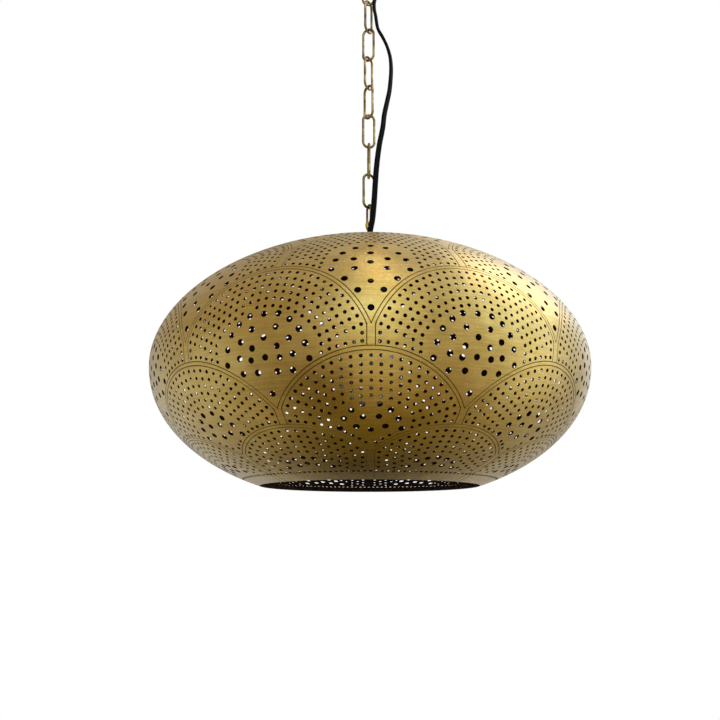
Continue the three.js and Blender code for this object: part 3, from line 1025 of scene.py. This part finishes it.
add_shade_part("shade_front", -90, [11, 12, 13, 14], "shade")
add_shade_part("shade_back", 90, [15, 16, 17, 18], None)


# ---- Chain --------------------------------------------------------------------------------------

LINK_PITCH = 32.2
LINK_WIDTH = 14
LINK_WIRE = 2.7
LINK_TURNS = (0, 55, -20, 50, -45, 10, -85, 25)
CONNECTOR_PITCH = 17.7
CONNECTOR_WIDTH = 10.6
CONNECTOR_WIRE = 2.4
CONNECTOR_TURN = -65
# The play between two rings where one bears on the other.
RING_GAP = 0.3
# How much is worn off the wire's radius, and twice that off the ceiling eye's, so that the rings
# don't meet at the ends of their swings; and how far a link's weld stands out.
WIRE_WEAR = 0.07
WELD_SWELL = 0.1
CHAIN_TOP_Z = -55.8
CHAIN_FOOT_Z = CHAIN_TOP_Z - LINK_PITCH * len(LINK_TURNS)
CONNECTOR_FOOT_Z = CHAIN_FOOT_Z - CONNECTOR_PITCH


def upright(places, centre_z, turn):
    """Puts (x, z) places into the upright plane through the axis at this turn, in metres."""
    angle = math.radians(turn)
    return [
        (x * math.cos(angle) * MM, x * math.sin(angle) * MM, (z + centre_z) * MM) for x, z in places
    ]


def stadium(pitch, width, wire):
    """The middle line of a link's wire: two half circles, and straight sides in short steps."""
    radius = (width - wire) / 2
    stretch = (pitch + RING_GAP + 2 * wire - width) / 2
    corners = []
    for angle in angles_round(64, 0.5):
        rise = math.sin(angle)
        corners.append((radius * math.cos(angle), radius * rise + math.copysign(stretch, rise)))
    places = []
    for (x1, z1), (x2, z2) in zip(corners, corners[1:] + corners[:1]):
        parts = 8 if math.dist((x1, z1), (x2, z2)) > 3 else 1
        for part in range(parts):
            share = part / parts
            places.append((x1 + (x2 - x1) * share, z1 + (z2 - z1) * share))
    return places


def add_link(name, node, body, size, top_z, turn):
    """size is the link's pitch, width and wire. Its weld is in the middle of one side."""
    pitch, width, wire = size

    def thickness(share):
        weld = math.exp(-((share - 0.5) / 0.012) ** 2)
        return (wire / 2 - WIRE_WEAR + WELD_SWELL * weld) * MM

    path = upright(stadium(*size), top_z - pitch / 2, turn)
    add_skin(name, wire_loop(path, thickness, 20), dark_brass, body, node, 60)


def add_chain():
    size = (LINK_PITCH, LINK_WIDTH, LINK_WIRE)
    for number, turn in enumerate(LINK_TURNS, 1):
        body = "top_link" if number == 1 else "chain"
        top_z = CHAIN_TOP_Z - LINK_PITCH * (number - 1)
        add_link(f"link_{number}", f"chain_link_{number}", body, size, top_z, turn)
    size = (CONNECTOR_PITCH, CONNECTOR_WIDTH, CONNECTOR_WIRE)
    add_link("link_small", "connecting_link", "connector", size, CHAIN_FOOT_Z, CONNECTOR_TURN)


add_chain()


# ---- Turned parts -------------------------------------------------------------------------------
# Outlines are lists of (radius, height) points, in millimetres.


def up(height):
    return EQUATOR_Z + height


def raised(points):
    """An outline whose heights are measured from the shade's equator."""
    return [(radius, up(height)) for radius, height in points]


def rounded(points, radius, closed):
    """Rounds an outline's corners. The ends of one that isn't closed stay."""
    result = []
    count = len(points)
    for index, here in enumerate(points):
        if not closed and index in (0, count - 1):
            result.append(here)
            continue
        before = np.array(points[index - 1], float)
        after = np.array(points[(index + 1) % count], float)
        corner = np.array(here, float)
        back, ahead = before - corner, after - corner
        cut = min(radius, 0.45 * np.linalg.norm(back), 0.45 * np.linalg.norm(ahead))
        start = corner + back / np.linalg.norm(back) * cut
        end = corner + ahead / np.linalg.norm(ahead) * cut
        for t in (0, 0.33, 0.67, 1):
            result.append(tuple((1 - t) ** 2 * start + 2 * t * (1 - t) * corner + t * t * end))
    return result


def thread(radius, low, high, pitch, depth, count=8):
    """The outline of a round screw thread, from low to high."""
    points = []
    steps = int((high - low) / pitch * count)
    for step in range(steps + 1):
        height = low + (high - low) * step / steps
        wave = 0.5 - 0.5 * math.cos(2 * math.pi * (height - low) / pitch)
        points.append((radius - depth * (1 - wave), height))
    return points


def is_closed(points):
    """An outline that starts on the axis also ends on it. Any other closes on itself."""
    return points[0][0] > 0


def lathe(points, segments, centre=(0, 0)):
    """Turns an outline about the axis through centre."""
    verts = []
    rows = []
    for radius, height in points:
        start = len(verts)
        for angle in angles_round(segments if radius > 1e-6 else 1):
            x = centre[0] + radius * math.cos(angle)
            y = centre[1] + radius * math.sin(angle)
            verts.append((x * MM, y * MM, height * MM))
        rows.append(range(start, len(verts)))
    faces = []
    spans = len(rows) if is_closed(points) else len(rows) - 1
    for span in range(spans):
        low, high = rows[span], rows[(span + 1) % len(rows)]
        for step in range(segments):
            after = (step + 1) % segments
            corners = [low[place % len(low)] for place in (step, after)]
            corners += [high[place % len(high)] for place in (after, step)]
            face = tuple(dict.fromkeys(corners))
            if len(face) > 2:
                faces.append(face)
    return verts, faces


def add_turned(name, points, finish, body, node, edge=0.3, segments=72, centre=(0, 0)):
    """edge is how far the corners of the outline are rounded."""
    skin = lathe(rounded(points, edge, is_closed(points)), segments, centre)
    add_skin(name, skin, finish, body, node, 40)


def ring_skin(radius, wire, centre_z, turn, sides=18, steps=64):
    """An upright ring of round wire. Both sizes are radii."""
    places = [(radius * math.cos(angle), radius * math.sin(angle)) for angle in angles_round(steps)]
    return wire_loop(upright(places, centre_z, turn), wire * MM, sides)


def finish_cad(node, finish, edge=0.35):
    """Keeps a CAD node as it is, with softened edges and its own finish."""
    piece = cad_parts[node]
    piece.data.materials.clear()
    piece.data.materials.append(finish[0])
    weld = piece.modifiers.new("weld", "WELD")
    weld.merge_threshold = 0.00001
    soften = piece.modifiers.new("soften", "BEVEL")
    soften.width = edge * MM
    soften.segments = 2
    soften.limit_method = "ANGLE"
    soften.angle_limit = math.radians(35)
    soften.harden_normals = False


# ---- Ceiling fitting ----------------------------------------------------------------------------

RING_RADIUS = 8.3
RING_WIRE = 1.8
RING_CENTRE_Z = CHAIN_TOP_Z - RING_GAP / 2 + RING_RADIUS - RING_WIRE
SHOULDER_Z = RING_CENTRE_Z + RING_RADIUS + 3.2
STEM_RADIUS = 4
CANOPY_RADIUS = 50
CANOPY_DEPTH = 30.4
CANOPY_FLAT = 21
CANOPY_HOLE = 4.5
CANOPY_WALL = 1.2
CANOPY_TOP_Z = -0.3
CANOPY_FOOT_Z = CANOPY_TOP_Z - CANOPY_DEPTH
BUSH_X = 14
BUSH_FOOT_Z = -50
BUSH_RIBS = 5
BUSH_RIB_PITCH = 3


def add_ceiling_eye():
    low = RING_CENTRE_Z + RING_RADIUS
    screw = thread(STEM_RADIUS, SHOULDER_Z + 0.2, -0.6, 1.25, 0.35)
    foot = [
        (0, low - 0.6), (2.6, low - 0.6), (STEM_RADIUS, low + 0.9), (6.2, low + 1),
        (6.2, SHOULDER_Z), (STEM_RADIUS, SHOULDER_Z), screw[0],
    ]
    stem = rounded(foot, 0.4, False) + screw[1:] + [(3.4, -0.4), (0, -0.4)]
    ring = ring_skin(RING_RADIUS, RING_WIRE - 2 * WIRE_WEAR, RING_CENTRE_Z, 90)
    skin = joined(ring, lathe(stem, 48))
    add_skin("ceiling_hook_eye", skin, dark_brass, "ceiling", "ceiling_eye", 50)


def canopy_side(inset, steps=22):
    """A quarter of an ellipse, from the flat of the cup's foot to its top edge."""
    points = []
    for step in range(steps + 1):
        angle = step / steps * math.pi / 2
        radius = CANOPY_FLAT + (CANOPY_RADIUS - inset - CANOPY_FLAT) * math.sin(angle)
        points.append((radius, CANOPY_TOP_Z - (CANOPY_DEPTH - inset) * math.cos(angle)))
    return points


def add_canopy():
    sides = [*canopy_side(0), *reversed(canopy_side(CANOPY_WALL))]
    bell = [(CANOPY_HOLE, CANOPY_FOOT_Z), *sides, (CANOPY_HOLE, CANOPY_FOOT_Z + CANOPY_WALL)]
    add_skin("canopy_bell", lathe(bell, 128), turned_brass, "ceiling", "canopy", 50)
    nut = [
        (4.35, SHOULDER_Z + 0.3), (6.6, SHOULDER_Z + 0.3), (7.6, SHOULDER_Z + 1.4), (7.6, -31),
        (4.35, -31),
    ]
    add_turned("canopy_lock_ring", nut, dark_brass, "ceiling", "canopy_nut", 0.5)


def add_cord_bush():
    """A ribbed bush that widens upwards, with its shank through the canopy."""
    points = [(3.25, BUSH_FOOT_Z + 0.2), (3.6, BUSH_FOOT_Z)]
    for rib in range(BUSH_RIBS):
        low = BUSH_FOOT_Z + 0.4 + rib * BUSH_RIB_PITCH
        wide = 3.95 + rib * 0.26
        points += [(wide, low), (wide, low + 1.9), (wide - 0.45, low + 2.1), (wide - 0.35, low + 2.85)]
    points += [(5.2, -34.2), (5.8, -33.6), (5.8, -31.05), (4.25, -31.0), (4.25, -24.2), (3.25, -24.1)]
    centre = (BUSH_X, 0)
    add_turned("bush_tapered", points, black_plastic, "ceiling", "cord_bush", 0.25, 56, centre)


add_ceiling_eye()
add_canopy()
add_cord_bush()
finish_cad("crossbar", zinc, 0.4)
finish_cad("lock_nut", zinc)
finish_cad("cord_bush_nut", black_plastic)
finish_cad("terminal_block", white_ceramic, 0.5)
for number in (1, 2):
    finish_cad(f"block_screw_{number}", bright_brass, 0.25)


# ---- Crown fittings -----------------------------------------------------------------------------

EYE_RADIUS = 4.6
EYE_WIRE = 1.2
EYE_Z = CONNECTOR_FOOT_Z + RING_GAP / 2 - EYE_RADIUS + EYE_WIRE
# The black lip round the cord where it goes into the casting: its centre, how its hole slopes, and
# its half width, half height and wire.
LIP_CENTRE = Vector((0.35, -6.5, -348.2)) * MM
LIP_SLOPE = Vector((0.3, -3.4, 5.8)).normalized()
LIP_WIDE = 3.3
LIP_HIGH = 2.4
LIP_WIRE = 0.75


def add_shade_loop():
    """A cast bell with an upright eye on top."""
    top_z = EYE_Z - EYE_RADIUS + 0.3
    side = raised([
        (5.4, 121.4), (10.5, 121.4), (10.5, 125), (10.0, 126), (9.8, 130), (7.6, 133), (4, 134.6),
        (2.7, 136.2), (2.1, 138),
    ])
    inside = raised([(0, 124.5), (5.4, 124.5)])
    bell = [*inside, *rounded([*side, (1.7, top_z)], 0.8, False), (0, top_z)]
    eye = ring_skin(EYE_RADIUS, EYE_WIRE, EYE_Z, 60, 16, 48)
    skin = joined(lathe(bell, 72), eye)
    add_skin("loop_cast", skin, turned_brass, "lantern", "shade_loop", 45)


def add_wire_way_lip():
    side = Vector((1, 0, 0))
    over = LIP_SLOPE.cross(side)
    path = []
    for angle in angles_round(40):
        wide = LIP_WIDE * MM * math.cos(angle) * side
        path.append(LIP_CENTRE + wide + LIP_HIGH * MM * math.sin(angle) * over)
    skin = wire_loop(path, LIP_WIRE * MM, 12)
    add_skin("wire_way_lip", skin, black_plastic, "lantern", None, 60)


def add_crown_stack():
    washer = raised([(5.3, 119.8), (18, 119.8), (18, 120.5), (16.8, 121.1), (5.3, 121.1)])
    add_turned("washer_outer", washer, turned_brass, "lantern", "outer_washer", 0.35, 96)
    washer = raised([(5.3, 115.9), (14, 115.9), (14, 117.3), (5.3, 117.3)])
    add_turned("washer_inner", washer, zinc, "lantern", "inner_washer", 0.35)
    wall = raised([(3.9, 97), *thread(5, 97.2, 122.8, 1.0, 0.3), (3.9, 123)])
    add_skin("tube_threaded", lathe(wall, 48), bright_brass, "lantern", "threaded_tube", 50)


add_shade_loop()
add_wire_way_lip()
add_crown_stack()
finish_cad("inner_nut", zinc, 0.5)


# ---- Lampholder ---------------------------------------------------------------------------------

HOLDER_RADIUS = 20.5
HOLDER_WALL = 1.3
HOLDER_INSIDE = HOLDER_RADIUS - HOLDER_WALL
RING_SEGMENTS = 144
RING_RIBS = 24
RIB_HEIGHT = 0.55


def add_holder_cap():
    cap = raised([
        (5.3, 98.2), (13.3, 95.6), (18.6, 90.5), (HOLDER_INSIDE, 84), (HOLDER_RADIUS, 84),
        (HOLDER_RADIUS, 86.5), (HOLDER_RADIUS - 0.4, 91.2), (14, 97.2), (8, 99.8), (8, 104),
        (5.3, 104),
    ])
    add_turned("holder_cap_spun", cap, turned_brass, "lantern", "holder_cap", 1.2, 96)


def add_holder_body():
    waist = HOLDER_RADIUS - 0.3
    body = raised([
        (HOLDER_INSIDE, 44), (HOLDER_RADIUS, 44), (HOLDER_RADIUS, 56), (waist, 56.6), (waist, 69.4),
        (HOLDER_RADIUS, 70), (HOLDER_RADIUS, 83.7), (HOLDER_INSIDE, 83.7),
    ])
    add_turned("holder_sleeve", body, black_plastic, "lantern", "holder_body", 0.4, 96)


def add_holder_contacts():
    insert = raised([(0, 76), (18.9, 76), (18.9, 84.5), (16.5, 86), (0, 86)])
    add_turned("holder_core", insert, white_ceramic, "lantern", "holder_insert", 0.6)
    contact = raised([(0, 73.2), (2.6, 73.2), (4, 74.6), (4, 75.7), (0, 75.7)])
    add_turned("contact_spring", contact, bright_brass, "lantern", "centre_contact", 0.4)
    wave = thread(14.25, 51, 74.5, 3.6, 0.5, 12)
    shell = raised([(13.75, 50), (14.7, 50), (14.7, 75.7), (13.75, 75.7), *reversed(wave)])
    add_skin("shell_threaded", lathe(shell, 72), bright_brass, "lantern", "screw_shell", 50)


def add_holder_ring():
    """Shade ring with finger ribs round its rim."""
    profile = rounded(raised([(20.8, 60), (24.4, 60), (24.4, 66), (20.8, 66)]), 0.5, True)
    verts, faces = lathe(profile, RING_SEGMENTS)
    ribbed = []
    for index, (x, y, z) in enumerate(verts):
        radius = math.hypot(x, y) / MM
        wave = 0.5 + 0.5 * math.cos(2 * math.pi * index * RING_RIBS / RING_SEGMENTS)
        scale = 1 + RIB_HEIGHT * wave / radius if radius > 23 else 1
        ribbed.append((x * scale, y * scale, z))
    skin = (ribbed, faces)
    add_skin("holder_ring_ribbed", skin, black_plastic, "lantern", "holder_ring", 50)


add_holder_cap()
add_holder_body()
add_holder_contacts()
add_holder_ring()
for number in (1, 2):
    finish_cad(f"holder_screw_{number}", bright_brass, 0.3)


# ---- Bulb ---------------------------------------------------------------------------------------

GLOBE_RADIUS = 30
NECK_RADIUS = 11.8
GLASS_WALL = 0.8
CAP_PITCH = 3.6
FILAMENTS = 4
FILAMENT_LENGTH = 34
FILAMENT_CIRCLE = 7.5
FILAMENT_LEAN = -9


def globe_skin(inset, steps=26):
    """From the open neck over the shoulder and the globe to the pole, bottom last."""
    neck = NECK_RADIUS - inset
    globe = GLOBE_RADIUS - inset
    points = [
        (neck, 60), (neck, 47), (neck + 0.6, 42), (neck + 2.3, 37), (neck + 5.2, 31.2),
        (neck + 7.8, 25.6),
    ]
    for step in range(steps + 1):
        polar = math.radians(50 + 130 * step / steps)
        radius = 0 if step == steps else globe * math.sin(polar)
        points.append((radius, globe * math.cos(polar)))
    return points


def add_bulb():
    globe = raised([*globe_skin(0), *reversed(globe_skin(GLASS_WALL))])
    add_skin("bulb_globe", lathe(globe, 96), glass, "bulb", "bulb_glass", 60)
    wave = thread(13.2, 49, 64.5, CAP_PITCH, 0.75, 12)
    cap = raised([
        (12.25, 47), (12.9, 47.2), *wave, (12.4, 66), (6, 70.5), (0, 70.5), (0, 69.4), (5.4, 69.4),
        (11.7, 65.2), (12.0, 60),
    ])
    add_skin("bulb_screw_cap", lathe(cap, 72), cap_nickel, "bulb", "bulb_cap", 50)
    contact = raised([(0, 70.8), (4.2, 70.8), (3.6, 72.2), (2, 72.6), (0, 72.6)])
    add_turned("bulb_contact_dome", contact, zinc, "bulb", "bulb_contact", 0.4)
    stem = raised([(0, 10), (1.6, 10.4), (1.5, 38), (2.4, 44), (4.5, 52), (4.5, 58), (0, 58)])
    add_turned("bulb_glass_stem", stem, glass, "bulb", "bulb_stem", 0.8, 48)


def add_filaments():
    """Upright filament sticks round the stem, leaning a little."""
    half = FILAMENT_LENGTH / 2
    stick = rounded([(0, -half), (0.9, -half), (0.9, half), (0, half)], 0.5, False)
    verts, faces = lathe(stick, 20)
    out = Matrix.Translation((0, FILAMENT_CIRCLE * MM, up(24) * MM))
    lean = Matrix.Rotation(math.radians(FILAMENT_LEAN), 4, "X")
    for number, angle in enumerate(angles_round(FILAMENTS, 0.5), 1):
        place = Matrix.Rotation(angle, 4, "Z") @ out @ lean
        skin = ([place @ Vector(v) for v in verts], faces)
        add_skin(f"stick_{number}", skin, phosphor, "bulb", f"filament_{number}", 40)


add_bulb()
add_filaments()


# ---- Lights and floor ---------------------------------------------------------------------------

FLOOR_RADIUS = 4.0
FLOOR_Z = -1.7
SHADE_MIDDLE = (0, 0, -0.48)
# The studio round the lantern: degrees round it (0 the camera's side, 90 the right), brightness,
# and warmth, below 0 for daylight. One list for each of three heights.
UPPER_WALL = [
    (-180, 0.5, 0.1), (-165, 0.42, 0.4), (-60, 0.42, 0.45), (-33, 0.4, 0.4), (-18, 0.52, 0.0),
    (-6, 1.3, -0.8), (12, 1.3, -0.8), (26, 0.62, 0.0), (42, 0.6, 0.0), (56, 0.85, -0.4),
    (72, 1.3, -1.1), (95, 1.2, -1.1), (112, 0.85, -0.5), (130, 0.85, -0.3), (148, 1.2, -0.3),
    (166, 0.7, 0.0), (180, 0.5, 0.1),
]
LOWER_WALL = [
    (-180, 0.5, 0.0), (-110, 0.6, -0.4), (-77, 0.6, -0.4), (-52, 0.4, 0.3), (-33, 0.35, 0.6),
    (-14, 0.55, 0.1), (2, 0.84, -0.3), (16, 0.66, -0.2), (33, 0.5, 0.1), (53, 0.56, 0.1),
    (76, 0.75, -0.3), (93, 1.35, -0.6), (108, 0.65, -0.2), (126, 0.45, 0.0), (180, 0.5, 0.0),
]
FLOOR_ROUND = [
    (-180, 0.0, 1.0), (-163, 0.02, 1.0), (-148, 0.2, 0.6), (-110, 0.5, 0.0), (-80, 0.38, 0.4),
    (-42, 0.11, 1.4), (-18, 0.18, 1.4), (2, 0.63, 0.5), (19, 0.5, 0.5), (42, 0.28, 1.0),
    (80, 0.36, 0.5), (110, 0.34, 0.4), (148, 0.24, 0.4), (163, 0.02, 1.0), (180, 0.0, 1.0),
]
CEILING_TONE = (0.52, 0.52, 0.5, 1)
FLOOR_BELOW_TONE = (0.165, 0.134, 0.018, 1)


def studio_ramp(tree, share, tones):
    stops = []
    for turn, bright, warmth in tones:
        colour = (bright, bright * (1.03 - 0.24 * warmth), bright * (1 - 0.6 * warmth))
        stops.append((turn / 360 + 0.5, colour))
    return ramp(tree, share, stops)


def blend(tree, factor, first, second):
    node = tree.nodes.new("ShaderNodeMix")
    node.data_type = "RGBA"
    feed_inputs(node, Factor=factor, A=first, B=second)
    return node.outputs["Result"]


def add_world():
    """White to the camera. In reflections and as light: a pale studio with a window on the right,
    over a darker, warmer floor."""
    world = bpy.data.worlds.new("studio")
    bpy.context.scene.world = world
    world.use_nodes = True
    tree = world.node_tree
    tree.nodes.clear()
    direction = add_node(tree, "ShaderNodeTexCoord").outputs["Generated"]
    x, y, z = add_node(tree, "ShaderNodeSeparateXYZ", direction).outputs
    bearing = maths(tree, "ARCTAN2", x, maths(tree, "MULTIPLY", y, -1.0))
    share = spread(tree, bearing, 0.0, 1.0, -math.pi, math.pi)
    walls = (UPPER_WALL, LOWER_WALL, FLOOR_ROUND)
    upper, lower, floor = (studio_ramp(tree, share, tones) for tones in walls)
    colour = FLOOR_BELOW_TONE
    for above, low, high in (
        (floor, -1.0, -0.8), (lower, -0.75, -0.3), (upper, -0.1, 0.35), (CEILING_TONE, 0.75, 0.97),
    ):
        colour = blend(tree, spread(tree, z, 0.0, 1.0, low, high), colour, above)
    lit = add_node(tree, "ShaderNodeBackground", colour).outputs[0]
    seen = add_node(tree, "ShaderNodeBackground", (1, 1, 1, 1)).outputs[0]
    to_camera = add_node(tree, "ShaderNodeLightPath").outputs["Is Camera Ray"]
    mix = add_node(tree, "ShaderNodeMixShader", to_camera, lit, seen)
    add_node(tree, "ShaderNodeOutputWorld", mix.outputs[0])


def add_softbox(name, place, size, power):
    """A rectangular lamp turned to the shade."""
    data = bpy.data.lights.new(name, "AREA")
    data.shape = "RECTANGLE"
    data.size, data.size_y = size
    data.energy = power
    lamp = bpy.data.objects.new(name, data)
    lamp.location = place
    aim = Vector(SHADE_MIDDLE) - Vector(place)
    lamp.rotation_euler = aim.to_track_quat("-Z", "Y").to_euler()
    bpy.context.scene.collection.objects.link(lamp)


def add_floor():
    """A pale round floor well below the lantern."""
    circle = bmesh.new()
    bmesh.ops.create_circle(circle, cap_ends=True, segments=96, radius=FLOOR_RADIUS)
    mesh = bpy.data.meshes.new("floor")
    circle.to_mesh(mesh)
    circle.free()
    mesh.materials.append(plastic("floor_paint", (0.95, 0.92, 0.88), (0.7, 0.85), 0.03, 60.0))
    floor = bpy.data.objects.new("floor", mesh)
    floor.location = (0, 0, FLOOR_Z)
    floor.visible_glossy = False
    bpy.context.scene.collection.objects.link(floor)


add_world()
add_floor()
add_softbox("window_right", (0.93, 0.34, 0.51), (0.7, 0.9), 3)
add_softbox("tube_overhead", (0.08, -0.35, 0.75), (0.1, 0.9), 0.8)

bpy.context.scene.view_settings.view_transform = "Standard"
